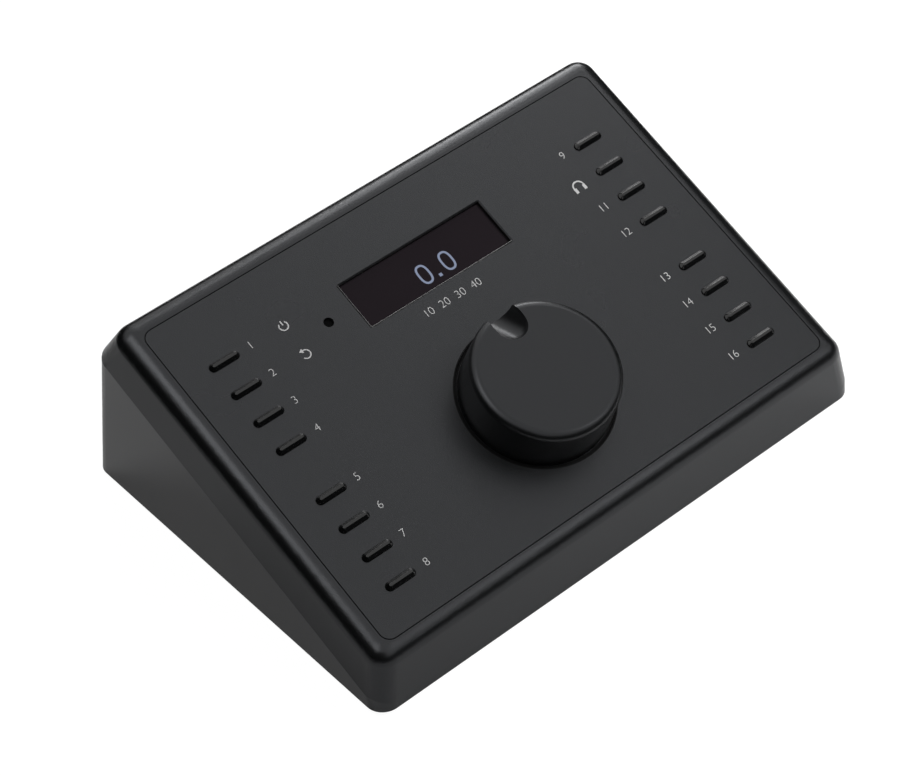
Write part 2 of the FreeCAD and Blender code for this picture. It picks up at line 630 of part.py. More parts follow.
def knob():
    """A hollow drafted knob with a finger scoop that breaks the edge on the far side."""
    foot, top = -KNOB_SINK, KNOB_HEIGHT
    points = [(0, foot), (KNOB_RADIUS - KNOB_FOOT_CHAMFER, foot), (KNOB_RADIUS, foot + KNOB_FOOT_CHAMFER),
              (KNOB_RADIUS - (top - foot) * tan(KNOB_DRAFT), top), (0, top), (0, foot)]
    profile = Part.makePolygon([Vector(x, 0, z) for x, z in points])
    body = Part.Face(profile).revolve(Vector(0, 0, 0), Vector(0, 0, 1), FULL_TURN)
    body = body.makeFillet(KNOB_TOP_ROUND, edges_above(body, top))
    ceiling = top - KNOB_CROWN
    boss = rod(0, 0, (KNOB_BOSS_UNDERSIDE, ceiling), HUB_RADIUS + KNOB_BOSS_WALL)
    hollow = rod(0, 0, (foot - OVER, ceiling), KNOB_RADIUS - KNOB_RIM_WALL)
    hollow = hollow.cut([boss, scoop_tool(SCOOP_RADIUS + SCOOP_WALL)])
    hub_hole = rod(0, 0, (KNOB_BOSS_UNDERSIDE - OVER, HUB_TOP), HUB_RADIUS + HUB_CLEARANCE)
    return at_knob(body.cut([hollow, hub_hole, scoop_tool(SCOOP_RADIUS)]))


def d_bar(radius, z, flat_depth):
    """A round bar with one flat along its length."""
    return rod(0, 0, z, radius).cut(box((radius - flat_depth, radius + OVER), (-radius, radius), z))


def knob_hub():
    """The brass hub pressed into the knob, bored for the shaft and its flat."""
    z = (KNOB_BOSS_UNDERSIDE, HUB_TOP)
    bore = d_bar(SHAFT_RADIUS + HUB_CLEARANCE, z, SHAFT_FLAT)
    return at_knob(rod(0, 0, z, HUB_RADIUS).cut(bore))


def encoder_shaft():
    """The shaft that turns with the knob, with a flat on its upper end."""
    low = CUP_UNDERSIDE + CUP_FLOOR + STACK_GAP
    round_part = rod(0, 0, (low, SHAFT_FLAT_START), SHAFT_RADIUS)
    flat_part = d_bar(SHAFT_RADIUS, (SHAFT_FLAT_START, HUB_TOP - SHAFT_DROP), SHAFT_FLAT)
    return at_knob(join([round_part, flat_part]))


def push_cup():
    """The sliding cup that carries the shaft and passes a press on to the encoder's switch."""
    bore = SHAFT_RADIUS + RUNNING_CLEARANCE
    top = BUSH_HEIGHT - CUP_TOP_DROP
    cup = rod(0, 0, (CUP_UNDERSIDE, top), bore + CUP_WALL)
    return at_knob(cup.cut(rod(0, 0, (CUP_UNDERSIDE + CUP_FLOOR, top + OVER), bore)))


def encoder_body():
    """The encoder's case and its bush, bored for the push cup."""
    under = -PANEL_THICKNESS
    body = box(around(0, ENCODER_SIZE), around(0, ENCODER_SIZE), (BOARD_TOP, under))
    body = join([body, rod(0, 0, (under, BUSH_HEIGHT), BUSH_RADIUS)])
    bore = SHAFT_RADIUS + 2 * RUNNING_CLEARANCE + CUP_WALL
    floor = CUP_UNDERSIDE - KNOB_TRAVEL - CUP_REST_GAP
    return at_knob(body.cut(rod(0, 0, (floor, BUSH_HEIGHT + OVER), bore)))


def encoder_nut():
    """The nut that holds the encoder's bush in the panel."""
    z = (-KNOB_WELL_DEPTH, -KNOB_WELL_DEPTH + NUT_THICKNESS)
    return at_knob(hexagon(z, NUT_ACROSS_FLATS, BUSH_RADIUS + PILOT_CLEARANCE))


# Main board

def spacer_places():
    """Places (x, y) of the main board's spacers."""
    column = MAIN_BOARD_WIDTH / 2 - SPACER_INSET
    rows = (MAIN_BOARD_FRONT + SPACER_INSET, MAIN_BOARD_REAR - SPACER_REAR_INSET)
    return [(x, y) for x in (-column, column) for y in rows]


def main_board():
    """The board that carries the sockets."""
    board = box(around(0, MAIN_BOARD_WIDTH), (MAIN_BOARD_FRONT, MAIN_BOARD_REAR),
                (MAIN_BOARD_Z, MAIN_BOARD_TOP))
    through = (MAIN_BOARD_Z - OVER, MAIN_BOARD_TOP + OVER)
    holes = [rod(x, y, through, SMALL_SCREW[0] + SCREW_HOLE_CLEARANCE) for x, y in spacer_places()]
    return board.cut(holes)


def board_spacers():
    """The spacers between the base plate and the main board."""
    pilot = SMALL_SCREW[0] + PILOT_CLEARANCE
    return Part.makeCompound([
        rod(x, y, (BASE_TOP, MAIN_BOARD_Z), SPACER_RADIUS).cut(rod(x, y, (BASE_TOP, MAIN_BOARD_Z), pilot))
        for x, y in spacer_places()])


def main_board_screws():
    """The screws through the main board into its spacers."""
    shank, head, head_height = SMALL_SCREW
    shank_span = (BASE_TOP + SCREW_END_GAP, MAIN_BOARD_TOP)
    head_span = (MAIN_BOARD_TOP, MAIN_BOARD_TOP + head_height)
    return Part.makeCompound([join([rod(x, y, shank_span, shank), rod(x, y, head_span, head)])
                              for x, y in spacer_places()])


# Rear panel and sockets: each pierces the panel and stands on the main board

def socket_row():
    """The x of each socket from left to right, with equal gaps between them."""
    widths = {"power": POWER_BODY[0], "usb": USB_BODY[0], "network_1": NETWORK_BODY[0],
              "network_2": NETWORK_BODY[0], "digital": DIGITAL_FLANGE[0],
              "line_left": JACK_BODY[0], "line_right": JACK_BODY[0]}
    half_row = RECESS_WIDTH / 2 - REAR_LEDGE - SOCKET_END_GAP
    gap = (2 * half_row - sum(widths.values())) / (len(widths) - 1)
    row = {}
    left = -half_row
    for name, width in widths.items():
        row[name] = left + width / 2
        left += width + gap
    return row


ROW = socket_row()


def power_axis():
    """Height of the power inlet's axis."""
    return MAIN_BOARD_TOP + POWER_BODY[2] / 2


def jack_axis():
    """Height of the line jacks' axis."""
    return MAIN_BOARD_TOP + JACK_BODY[2] / 2


def jack_places():
    """Places (x, z) of the round jacks: two line inputs, then the headphone output."""
    left, right = ROW["line_left"], ROW["line_right"]
    return [(left, jack_axis()), (right, jack_axis()), ((left + right) / 2, RECESS_CEILING - HEADPHONE_DROP)]


def socket_hole(x, size):
    """A rectangular cut-out for a socket body that stands on the main board."""
    gap = SOCKET_HOLE_CLEARANCE
    return box(around(x, size[0] + 2 * gap), (REAR_INNER - OVER, REAR_FACE + OVER),
               (MAIN_BOARD_TOP - gap, MAIN_BOARD_TOP + size[2] + gap))


def socket_body(x, size):
    """A socket's block on the main board, its face just proud of the rear panel."""
    width, depth, height = size
    return box(around(x, width), (SOCKET_FACE - depth, SOCKET_FACE), (MAIN_BOARD_TOP, MAIN_BOARD_TOP + height))


def rear_panel():
    """The plate in the rear recess, with a cut-out for each socket and screw."""
    gap = REAR_PANEL_CLEARANCE
    plate = box(around(0, RECESS_WIDTH - 2 * gap), (REAR_INNER, REAR_FACE),
                (RECESS_FLOOR + gap, RECESS_CEILING - gap))
    thickness = (REAR_INNER - OVER, REAR_FACE + OVER)
    cuts = [socket_hole(ROW["power"], POWER_BODY), socket_hole(ROW["usb"], USB_BODY)]
    cuts += [socket_hole(ROW[name], NETWORK_BODY) for name in ("network_1", "network_2")]
    cuts.append(rod_y(ROW["digital"], thickness, BASE_Z + DIGITAL_Z, DIGITAL_BARREL + SOCKET_HOLE_CLEARANCE))
    cuts += [rod_y(x, thickness, z, SMALL_SCREW[0] + PILOT_CLEARANCE) for x, z in flange_screw_places()]
    for x, z in jack_places():
        cuts.append(rod_y(x, thickness, z, JACK_NOSE + SOCKET_HOLE_CLEARANCE))
    for x, z in rear_screw_places():
        cuts.append(rod_y(x, thickness, z, SMALL_SCREW[0] + SCREW_HOLE_CLEARANCE))
    return plate.cut(cuts)


def rearward_screw(x, face, z, grip):
    """A screw whose head lies on a face that looks to +y."""
    shank, head, head_height = SMALL_SCREW
    return join([rod_y(x, (face, face + head_height), z, head), rod_y(x, (face - grip, face), z, shank)])


def rear_panel_screws():
    """The screws that hold the rear panel to the housing."""
    grip = REAR_PANEL_THICKNESS + SMALL_SCREW_GRIP
    return Part.makeCompound([rearward_screw(x, REAR_FACE, z, grip) for x, z in rear_screw_places()])


def power_inlet():
    """The barrel socket for the power supply's plug."""
    x = ROW["power"]
    body = socket_body(x, POWER_BODY)
    return body.cut(rod_y(x, (SOCKET_FACE - POWER_BORE_DEPTH, SOCKET_FACE + OVER), power_axis(), POWER_BORE))


def power_pin():
    """The pin in the middle of the power inlet."""
    span = (SOCKET_FACE - POWER_BORE_DEPTH, SOCKET_FACE - POWER_PIN_DROP)
    return rod_y(ROW["power"], span, power_axis(), POWER_PIN)


def usb_socket():
    """A thin rounded shell with a tongue in its mouth."""
    width, depth, height = USB_BODY
    shell = rounded_block(around(0, width), around(0, height), (-depth, 0), height / 2)
    inner_height = height - 2 * USB_WALL
    mouth = rounded_block(around(0, width - 2 * USB_WALL), around(0, inner_height), (-USB_POCKET, OVER),
                          inner_height / 2)
    tongue = box(around(0, width - 4 * USB_WALL - USB_TONGUE), around(0, USB_TONGUE),
                 (-USB_POCKET, -USB_TONGUE_DROP))
    socket = shell.cut(mouth.cut(tongue))
    return facing_rear(socket, ROW["usb"], SOCKET_FACE, MAIN_BOARD_TOP + height / 2)


def network_socket(x):
    """A socket body with the stepped mouth that takes a latched plug."""
    body = socket_body(x, NETWORK_BODY)
    width, depth, height = NETWORK_MOUTH
    latch_width, latch_height = NETWORK_LATCH
    floor = MAIN_BOARD_TOP + NETWORK_MOUTH_FLOOR
    span = (SOCKET_FACE - depth, SOCKET_FACE + OVER)
    mouth = box(around(x, width), span, (floor, floor + height))
    latch = box(around(x, latch_width), span, (floor - latch_height, floor + OVER))
    return body.cut([mouth, latch])


def flange_screw_places():
    """Places (x, z) of the two screws on the digital socket's flange, on one diagonal."""
    dx, dz = DIGITAL_SCREW_OFFSET
    x = ROW["digital"]
    z = BASE_Z + DIGITAL_Z
    return [(x - dx, z + dz), (x + dx, z - dz)]


def digital_input():
    """A flanged round shell with a deep cup, and a block under it that stands on the main board."""
    x = ROW["digital"]
    z = BASE_Z + DIGITAL_Z
    width, height, thickness = DIGITAL_FLANGE
    flange = rounded_block(around(0, width), around(0, height), (0, thickness), DIGITAL_FLANGE_CORNER)
    flange = facing_rear(flange, x, REAR_FACE, z)
    barrel = rod_y(x, (REAR_FACE - DIGITAL_BARREL_LENGTH, REAR_FACE), z, DIGITAL_BARREL)
    block = box(around(x, DIGITAL_BLOCK_WIDTH), (REAR_FACE - DIGITAL_BARREL_LENGTH, REAR_INNER - WALL),
                (MAIN_BOARD_TOP, z))
    face = REAR_FACE + thickness
    cuts = [rod_y(x, (face - DIGITAL_BORE_DEPTH, face + OVER), z, DIGITAL_BORE)]
    through = (REAR_FACE - OVER, face + OVER)
    cuts += [rod_y(screw_x, through, screw_z, SMALL_SCREW[0] + SCREW_HOLE_CLEARANCE)
             for screw_x, screw_z in flange_screw_places()]
    return join([flange, barrel, block]).cut(cuts)


def digital_input_insert():
    """The round insert in the socket's cup, with a hole for each of the plug's three pins."""
    x = ROW["digital"]
    z = BASE_Z + DIGITAL_Z
    face = REAR_FACE + DIGITAL_FLANGE[2]
    insert = rod_y(x, (face - DIGITAL_BORE_DEPTH, face - INSERT_DROP), z, INSERT_RADIUS)
    holes = [rod_y(x + CONTACT_CIRCLE * cos(angle), (face - CONTACT_LENGTH, face),
                   z + CONTACT_CIRCLE * sin(angle), CONTACT_RADIUS + CONTACT_CLEARANCE)
             for angle in (30, 150, 270)]
    return insert.cut(holes)


def flange_screws():
    """The screws that hold the digital socket's flange."""
    face = REAR_FACE + DIGITAL_FLANGE[2]
    grip = DIGITAL_FLANGE[2] + REAR_PANEL_THICKNESS
    return Part.makeCompound([rearward_screw(x, face, z, grip) for x, z in flange_screw_places()])


def jack(x, z):
    """A round jack: a block behind the panel and a threaded nose through it."""
    width, depth, height = JACK_BODY
    body = box(around(x, width), (REAR_INNER - depth, REAR_INNER), around(z, height))
    nose = rod_y(x, (REAR_INNER, REAR_FACE + JACK_NOSE_STAND_OUT), z, JACK_NOSE)
    mouth = REAR_FACE + JACK_NOSE_STAND_OUT
    return join([body, nose]).cut(rod_y(x, (mouth - JACK_BORE_DEPTH, mouth + OVER), z, JACK_BORE))


def jack_nuts():
    """The nuts on the jacks' threaded noses."""
    nut = hexagon((0, JACK_NUT_THICKNESS), JACK_NUT_ACROSS_FLATS, JACK_NOSE + PILOT_CLEARANCE)
    return Part.makeCompound([facing_rear(nut, x, REAR_FACE, z) for x, z in jack_places()])


def all_parts():
    """Every sub-part by name."""
    line_left, line_right, headphone = jack_places()
    parts = {
        "upper_housing": upper_housing(),
        "base_plate": base_plate(),
        "base_screws": base_screws(),
        "rubber_feet": rubber_feet(),
        "control_panel": control_panel(),
        "panel_gasket": panel_gasket(),
        "display_window": display_window(),
        "display_module": display_module(),
        "sensor_lens": sensor_lens(),
        "sensor_diode": sensor_diode(),
        "key_switches": key_switches(),
        "key_board": key_board(),
        "key_board_screws": key_board_screws(),
        "knob": knob(),
        "knob_hub": knob_hub(),
        "encoder_shaft": encoder_shaft(),
        "push_cup": push_cup(),
        "encoder_body": encoder_body(),
        "encoder_nut": encoder_nut(),
        "main_board": main_board(),
        "board_spacers": board_spacers(),
        "main_board_screws": main_board_screws(),
        "rear_panel": rear_panel(),
        "rear_panel_screws": rear_panel_screws(),
        "power_inlet": power_inlet(),
        "power_pin": power_pin(),
        "usb_socket": usb_socket(),
        "network_socket_1": network_socket(ROW["network_1"]),
        "network_socket_2": network_socket(ROW["network_2"]),
        "digital_input": digital_input(),
        "digital_input_insert": digital_input_insert(),
        "flange_screws": flange_screws(),
        "line_jack_left": jack(*line_left),
        "line_jack_right": jack(*line_right),
        "headphone_jack": jack(*headphone),
        "jack_nuts": jack_nuts(),
    }
    for name, side in (("left", -1), ("right", 1)):
        for number, y in enumerate(key_rows(), start=1):
            parts[f"key_{name}_{number}"] = key(key_column(side), y)
    return parts


def main():
    """Writes one STEP file for each sub-part."""
    os.makedirs("parts", exist_ok=True)
    for name, shape in all_parts().items():
        shape.exportStep(f"parts/{name}.step")


main()
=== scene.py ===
"""Studio monitor controller: finishes, marks, small fittings, light and camera."""
import json
import math

import bmesh
import bpy
from mathutils import Euler, Matrix, Vector


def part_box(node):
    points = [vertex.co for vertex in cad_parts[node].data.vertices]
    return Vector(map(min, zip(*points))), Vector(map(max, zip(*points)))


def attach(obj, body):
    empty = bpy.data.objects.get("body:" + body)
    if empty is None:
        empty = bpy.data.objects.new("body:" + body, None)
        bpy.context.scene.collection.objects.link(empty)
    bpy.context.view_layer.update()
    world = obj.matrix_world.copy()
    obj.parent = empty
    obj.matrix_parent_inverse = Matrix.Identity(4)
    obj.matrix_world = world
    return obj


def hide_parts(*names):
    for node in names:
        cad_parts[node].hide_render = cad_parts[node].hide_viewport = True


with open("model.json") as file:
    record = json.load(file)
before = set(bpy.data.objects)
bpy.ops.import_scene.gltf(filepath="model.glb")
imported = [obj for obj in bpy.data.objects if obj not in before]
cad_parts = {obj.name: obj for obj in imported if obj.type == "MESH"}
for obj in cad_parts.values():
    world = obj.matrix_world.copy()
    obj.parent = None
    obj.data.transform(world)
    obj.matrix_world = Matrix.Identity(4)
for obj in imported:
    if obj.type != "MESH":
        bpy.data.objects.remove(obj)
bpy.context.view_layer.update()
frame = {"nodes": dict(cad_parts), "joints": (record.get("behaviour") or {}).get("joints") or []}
NODES = frame["nodes"]

MM = 0.001
MERGE = 1e-6
SMOOTH_ANGLE = math.radians(35)

# Camera: place in metres, turn in degrees, lens and sensor in millimetres
CAMERA_PLACE = (-0.33396, -0.45785, 0.55405)
CAMERA_TURN = (46.4005, 4.6929, -40.0124)
CAMERA_LENS = 109.03
CAMERA_SENSOR = 36.0
CAMERA_REACH = (0.01, 20.0)      # nearest and farthest distance seen, metres

# Printed marks on the panel; places are from the knob's axis, across and up the slope
INK = 0.015 * MM                 # thickness of a print
MARK_HEIGHT = 2.35 * MM
MARK_GAP_LEFT = 8.1 * MM         # from a left key's centre to its mark
MARK_GAP_RIGHT = 8.8 * MM        # from a right key's centre to its mark
MARK_THINNING = -0.016           # how far an outline of a figure is drawn in, per unit of its size
KEYS_IN_COLUMN = 8
HEADPHONE_KEY = "key_right_7"    # the key with a symbol in place of a number
SYMBOL_STROKE = 0.36 * MM
SYMBOL_RADIUS = 1.35 * MM
POWER_SYMBOL = (-45.9 * MM, 55.0 * MM)
POWER_RING = (130, 410)          # where the ring of the power sign starts and ends, degrees
POWER_BAR = (0.25 * MM, 1.75 * MM)             # its two ends, above the ring's middle
RETURN_SYMBOL = (-46.0 * MM, 44.7 * MM)
RETURN_RING = (-150, 100)
RETURN_HEAD = (-0.2 * MM, 0.75 * MM)           # back of the arrow's head, and half its width
HEADPHONE_SYMBOL = (53.8 * MM, 44.6 * MM)
BAND_RADIUS = 1.75 * MM
BAND_ARC = (-20, 200)
BAND_WEIGHT = 1.3                # the band's stroke against the other symbols' stroke
CUP_PLACE = (1.55 * MM, -0.85 * MM)            # to either side of the middle, and up
CUP_SIZE = (0.95 * MM, 1.7 * MM)
ARC_STEPS = 24
SCALE_MARKS = ("10", "20", "30", "40")
SCALE_CENTRE = (-0.6 * MM, 35.1 * MM)
SCALE_PITCH = 5.7 * MM
SCALE_HEIGHT = 2.4 * MM

# Lit figures on the display's glass
ZERO_LEFTS = (-4.0 * MM, 4.3 * MM)
ZERO_WIDTH = 4.0 * MM
ZERO_HEIGHT = 6.5 * MM
ZERO_BASE = 43.65 * MM
ZERO_SQUARENESS = 2.6            # 2 is an ellipse, more is squarer
ZERO_POINTS = 48
FIGURE_STROKE = 0.66 * MM
DOT_PLACE = (1.95 * MM, 44.3 * MM)
DOT_SIZE = 1.0 * MM
LIT_LIFT = 0.02 * MM

# Numbers on the rear panel, above its sockets
REAR_MARK_HEIGHT = 2.2 * MM
REAR_MARK_GAP = 1.7 * MM
REAR_SOCKETS = ("line_jack_right", "headphone_jack", "line_jack_left", "digital_input",
                "network_socket_2", "network_socket_1", "usb_socket", "power_inlet")

# Screws: shank radius, head height, recess radius and recess depth
SMALL_SCREW = (0.98 * MM, 1.3 * MM, 1.05 * MM, 0.85 * MM)
BASE_SCREW = (1.23 * MM, 1.0 * MM, 1.3 * MM, 0.75 * MM)
RECESS_LOBES = 6
LOBE_DEPTH = 0.14                # share of the recess's radius
SCREW_SEGMENTS = 36

# Contacts in the network sockets
CONTACT_COUNT = 8
CONTACT_PITCH = 1.02 * MM
CONTACT_WIRE = 0.22 * MM         # radius
CONTACT_CEILING = 11.6 * MM      # mouth's ceiling above the socket's underside
CONTACT_ROUTE = ((-1.4, -0.25), (-2.2, -0.5), (-7.6, -3.3), (-9.6, -3.9), (-11.6, -3.9))   # in and up, mm

# Thread on the noses of the round jacks
THREAD_RADIUS = 4.9 * MM
THREAD_WIRE = 0.12 * MM
THREAD_RINGS = 3
THREAD_START = 0.25 * MM         # from the nut's face
THREAD_PITCH = 0.36 * MM

# Black rings of painted shade in the knob's recess, over its edge and on its floor where the gap lies in
# shade: radius, width and height above the panel's face
WELL_SHADE_RINGS = {
    "knob_well_edge": (23.1 * MM, 0.3 * MM, 0.0),
    "knob_well_felt": (22.5 * MM, 0.86 * MM, -0.8 * MM),
}
CIRCLE_POINTS = 96
TUBE_ROUNDING = 2                # how finely a tube's section is cut

# Painted highlight: a pale edge on the left and lower side of the display's opening, where light catches it
OPENING_EDGE = 0.16 * MM
OPENING_EDGE_DROP = 0.09 * MM
OPENING_GAP = 0.1 * MM           # between the window and its opening


def panel_frame():
    """Origin at the knob's axis on the panel's face, x right, y up the slope, z out of the face."""
    turn = next(joint for joint in frame["joints"] if joint["name"] == "knob_turn")
    out = Vector(turn["axis"]).normalized()
    right = Vector((1, 0, 0))
    rotation = Matrix((right, out.cross(right), out)).transposed().to_4x4()
    return Matrix.Translation(Vector(turn["pos_m"])) @ rotation


PANEL = panel_frame()

# Origin on the rear panel's face, x right as seen from behind, y up, z out of the face
REAR = Matrix(((-1, 0, 0, 0), (0, 0, 1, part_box("rear_panel")[1].y), (0, 1, 0, 0), (0, 0, 0, 1)))


def on_panel(node):
    """The middle of a node's box, in the panel's frame."""
    low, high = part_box(node)
    return PANEL.inverted() @ ((low + high) / 2)


def panel_height(node):
    """How far a node's highest point stands out of the panel's face; below zero, how far it lies under it."""
    back = PANEL.inverted()
    return max((back @ vertex.co).z for vertex in NODES[node].data.vertices)


def solids_in(node):
    """Lowest and highest corner of each separate solid in a node, in order of place."""
    shell = bmesh.new()
    shell.from_mesh(NODES[node].data)
    bmesh.ops.remove_doubles(shell, verts=shell.verts, dist=MERGE)
    left = set(shell.verts)
    boxes = []
    while left:
        reached = [left.pop()]
        for vertex in reached:
            for edge in vertex.link_edges:
                other = edge.other_vert(vertex)
                if other in left:
                    left.discard(other)
                    reached.append(other)
        sides = list(zip(*(vertex.co for vertex in reached)))
        boxes.append((Vector(map(min, sides)), Vector(map(max, sides))))
    shell.free()
    return sorted(boxes, key=lambda corners: tuple(corners[0]))


# Nodes of materials and patterns

class Wire:
    """A socket that adds a Math node wherever it is used in arithmetic."""

    def __init__(self, graph, socket):
        self.graph = graph
        self.socket = socket

    def math(self, operation, first, second):
        return self.graph.node("ShaderNodeMath", {"operation": operation}, {0: first, 1: second})

    def __add__(self, other):
        return self.math("ADD", self, other)

    def __mul__(self, other):
        return self.math("MULTIPLY", self, other)

    __radd__ = __add__
    __rmul__ = __mul__


class Graph:
    """A node tree with one method that adds nodes."""

    def __init__(self, tree):
        self.tree = tree
        self.tree.nodes.clear()

    def node(self, kind, settings=None, sockets=None, output=0):
        """Adds a node: its settings first, then values or links of its sockets. Returns one output."""
        made = self.tree.nodes.new(kind)
        for name, value in (settings or {}).items():
            setattr(made, name, value)
        for name, value in (sockets or {}).items():
            if isinstance(value, Wire):
                self.tree.links.new(value.socket, made.inputs[name])
            else:
                made.inputs[name].default_value = value
        return Wire(self, made.outputs[output]) if len(made.outputs) else None


class Finish(Graph):
    """The nodes of a material or of the world."""

    def __init__(self, owner):
        owner.use_nodes = True
        super().__init__(owner.node_tree)
        self.owner = owner

    def noise(self, scale, detail=2.0, roughness=0.5):
        """Noise from 0 to 1 whose features are about 1/scale metres."""
        place = self.node("ShaderNodeTexCoord", output="Object")
        return self.node("ShaderNodeTexNoise", {"noise_dimensions": "3D"},
                         {"Vector": place, "Scale": scale, "Detail": detail, "Roughness": roughness})

    def mix(self, factor, first, second):
        return self.node("ShaderNodeMix", {"data_type": "RGBA"}, {0: factor, 6: first, 7: second}, output=2)

    def spread(self, value, low, high):
        """Carries a value from 0..1 to low..high."""
        return value * (high - low) + low

    def bump(self, height, depth):
        return self.node("ShaderNodeBump", sockets={"Height": height, "Distance": depth, "Strength": 1.0})

    def surface(self, **sockets):
        """The Principled shader; words in socket names are joined by _."""
        named = {name.replace("_", " "): value for name, value in sockets.items()}
        shader = self.node("ShaderNodeBsdfPrincipled", sockets=named)
        self.node("ShaderNodeOutputMaterial", sockets={"Surface": shader})
        return self.owner


class Pattern(Graph):
    """A Geometry Nodes tree with named inputs, which ends in Realize Instances and Set Material."""

    def __init__(self, name, **inputs):
        super().__init__(bpy.data.node_groups.new(name, "GeometryNodeTree"))
        sides = self.tree.interface
        sides.new_socket("Geometry", in_out="OUTPUT", socket_type="NodeSocketGeometry")
        self.identifiers = {}
        for label, kind in inputs.items():
            socket = sides.new_socket(label, in_out="INPUT", socket_type="NodeSocket" + kind)
            self.identifiers[label] = socket.identifier
        self.given = {label: self.node("NodeGroupInput", output=place) for place, label in enumerate(inputs)}

    def shape_of(self, label):
        """The geometry of the object given as an input."""
        return self.node("GeometryNodeObjectInfo", sockets={"Object": self.given[label]}, output="Geometry")

    def end(self, instances):
        real = self.node("GeometryNodeRealizeInstances", sockets={"Geometry": instances})
        dressed = self.node("GeometryNodeSetMaterial",
                            sockets={"Geometry": real, "Material": self.given["Material"]})
        self.node("NodeGroupOutput", sockets={"Geometry": dressed})
        return self

    def mesh(self, source, **values):
        """The plain mesh that the tree makes of a source mesh and the given values."""
        holder = linked("pattern", source)
        modifier = holder.modifiers.new("pattern", "NODES")
        modifier.node_group = self.tree
        for label, value in values.items():
            modifier[self.identifiers[label]] = value
        made = evaluated(holder)
        holder.modifiers.remove(modifier)
        bpy.data.objects.remove(holder)
        return made


def copies_at_points():
    """One copy of an item at each point, facing one way, each turned about its own axis at random."""
    p = Pattern("copies_at_points", Places="Geometry", Item="Object", Facing="Vector", Seed="Int",
                Material="Material")
    points = p.node("GeometryNodeMeshToPoints", sockets={"Mesh": p.given["Places"]})
    angle = p.node("FunctionNodeRandomValue", {"data_type": "FLOAT"},
                   {2: 0.0, 3: 2 * math.pi, "Seed": p.given["Seed"]}, output=1)
    turn = p.node("FunctionNodeAxisAngleToRotation", sockets={"Axis": (0, 0, 1), "Angle": angle})
    facing = p.node("FunctionNodeRotateRotation", {"rotation_space": "GLOBAL"},
                    {"Rotation": turn, "Rotate By": p.given["Facing"]})
    return p.end(p.node("GeometryNodeInstanceOnPoints",
                        sockets={"Points": points, "Instance": p.shape_of("Item"), "Rotation": facing}))


def copies_in_row():
    """Copies of an item at even steps from each point."""
    p = Pattern("copies_in_row", Places="Geometry", Item="Object", Count="Int", Step="Vector",
                Material="Material")
    row = p.node("GeometryNodeMeshLine", {"mode": "OFFSET"},
                 {"Count": p.given["Count"], "Start Location": (0, 0, 0), "Offset": p.given["Step"]})
    items = p.node("GeometryNodeInstanceOnPoints", sockets={"Points": row, "Instance": p.shape_of("Item")})
    points = p.node("GeometryNodeMeshToPoints", sockets={"Mesh": p.given["Places"]})
    return p.end(p.node("GeometryNodeInstanceOnPoints", sockets={"Points": points, "Instance": items}))


def finish(name):
    """The nodes of a new material."""
    return Finish(bpy.data.materials.new(name))


def rgb(level, warmth=0.0):
    """A grey as a colour with alpha; warmth tints it towards red or, below zero, blue."""
    return (level * (1 + warmth), level, level * (1 - warmth), 1.0)


# Materials. Each noise scale is in waves per metre, and each depth of grain in metres.

COOL = -0.05                     # warmth of the greys that lean to blue
SHEEN = (0.93, 0.95, 1.0, 1.0)   # what the coat mirrors is a little cool


def coated(name, level, rough, grain, depth, specular=0.45):
    """Satin coat with a fine grain: a bumpy skin, a slightly uneven gloss and a cool sheen."""
    f = finish(name)
    fine = f.noise(grain, detail=3.0, roughness=0.6)
    broad = f.noise(35.0)
    return f.surface(Base_Color=f.mix(fine, rgb(level * 0.8, COOL), rgb(level * 1.2, COOL)),
                     Roughness=f.spread(broad, rough - 0.02, rough + 0.02),
                     Specular_IOR_Level=specular,
                     Specular_Tint=SHEEN,
                     Normal=f.bump(fine, depth))


def moulded(name, level, rough, specular=0.4):
    """Moulded plastic: faint spark-erosion grain."""
    f = finish(name)
    grain = f.noise(2600.0)
    return f.surface(Base_Color=f.mix(grain, rgb(level * 0.85), rgb(level * 1.15)),
                     Roughness=f.spread(f.noise(60.0), rough - 0.05, rough + 0.05),
                     Specular_IOR_Level=specular,
                     Normal=f.bump(grain, 0.01 * MM))


def polished(name, level, rough, specular=0.5):
    """Polished black plastic with the faintest unevenness."""
    f = finish(name)
    haze = f.noise(180.0)
    return f.surface(Base_Color=f.mix(haze, rgb(level * 0.9, COOL), rgb(level * 1.1, COOL)),
                     Roughness=f.spread(haze, rough, rough + 0.05),
                     Specular_IOR_Level=specular)


def metal(name, colour, rough):
    """Turned or drawn metal, with fine tool marks."""
    f = finish(name)
    marks = f.noise(900.0)
    dark = (*[c * 0.9 for c in colour], 1.0)
    return f.surface(Base_Color=f.mix(marks, dark, (*colour, 1.0)),
                     Metallic=1.0,
                     Roughness=f.spread(marks, rough - 0.05, rough + 0.08),
                     Normal=f.bump(marks, 0.004 * MM))


def soft_rubber():
    f = finish("foot_rubber")
    grain = f.noise(1500.0)
    return f.surface(Base_Color=f.mix(grain, rgb(0.012), rgb(0.02)),
                     Roughness=f.spread(grain, 0.75, 0.9),
                     Normal=f.bump(grain, 0.02 * MM))


def circuit_board():
    """Green solder mask with slightly darker weave showing through."""
    f = finish("board_green")
    weave = f.noise(700.0, detail=1.0)
    return f.surface(Base_Color=f.mix(weave, (0.008, 0.06, 0.02, 1.0), (0.012, 0.09, 0.03, 1.0)),
                     Roughness=f.spread(weave, 0.3, 0.4))


def window_glass():
    """A dark tinted window over an unlit display: brownish violet, with a coat that hardly reflects."""
    f = finish("window_glass")
    haze = f.noise(50.0, detail=1.0)
    return f.surface(Base_Color=f.mix(haze, (0.0105, 0.0072, 0.0095, 1.0), (0.0125, 0.0088, 0.0115, 1.0)),
                     Roughness=f.spread(haze, 0.07, 0.1),
                     Specular_IOR_Level=0.06)


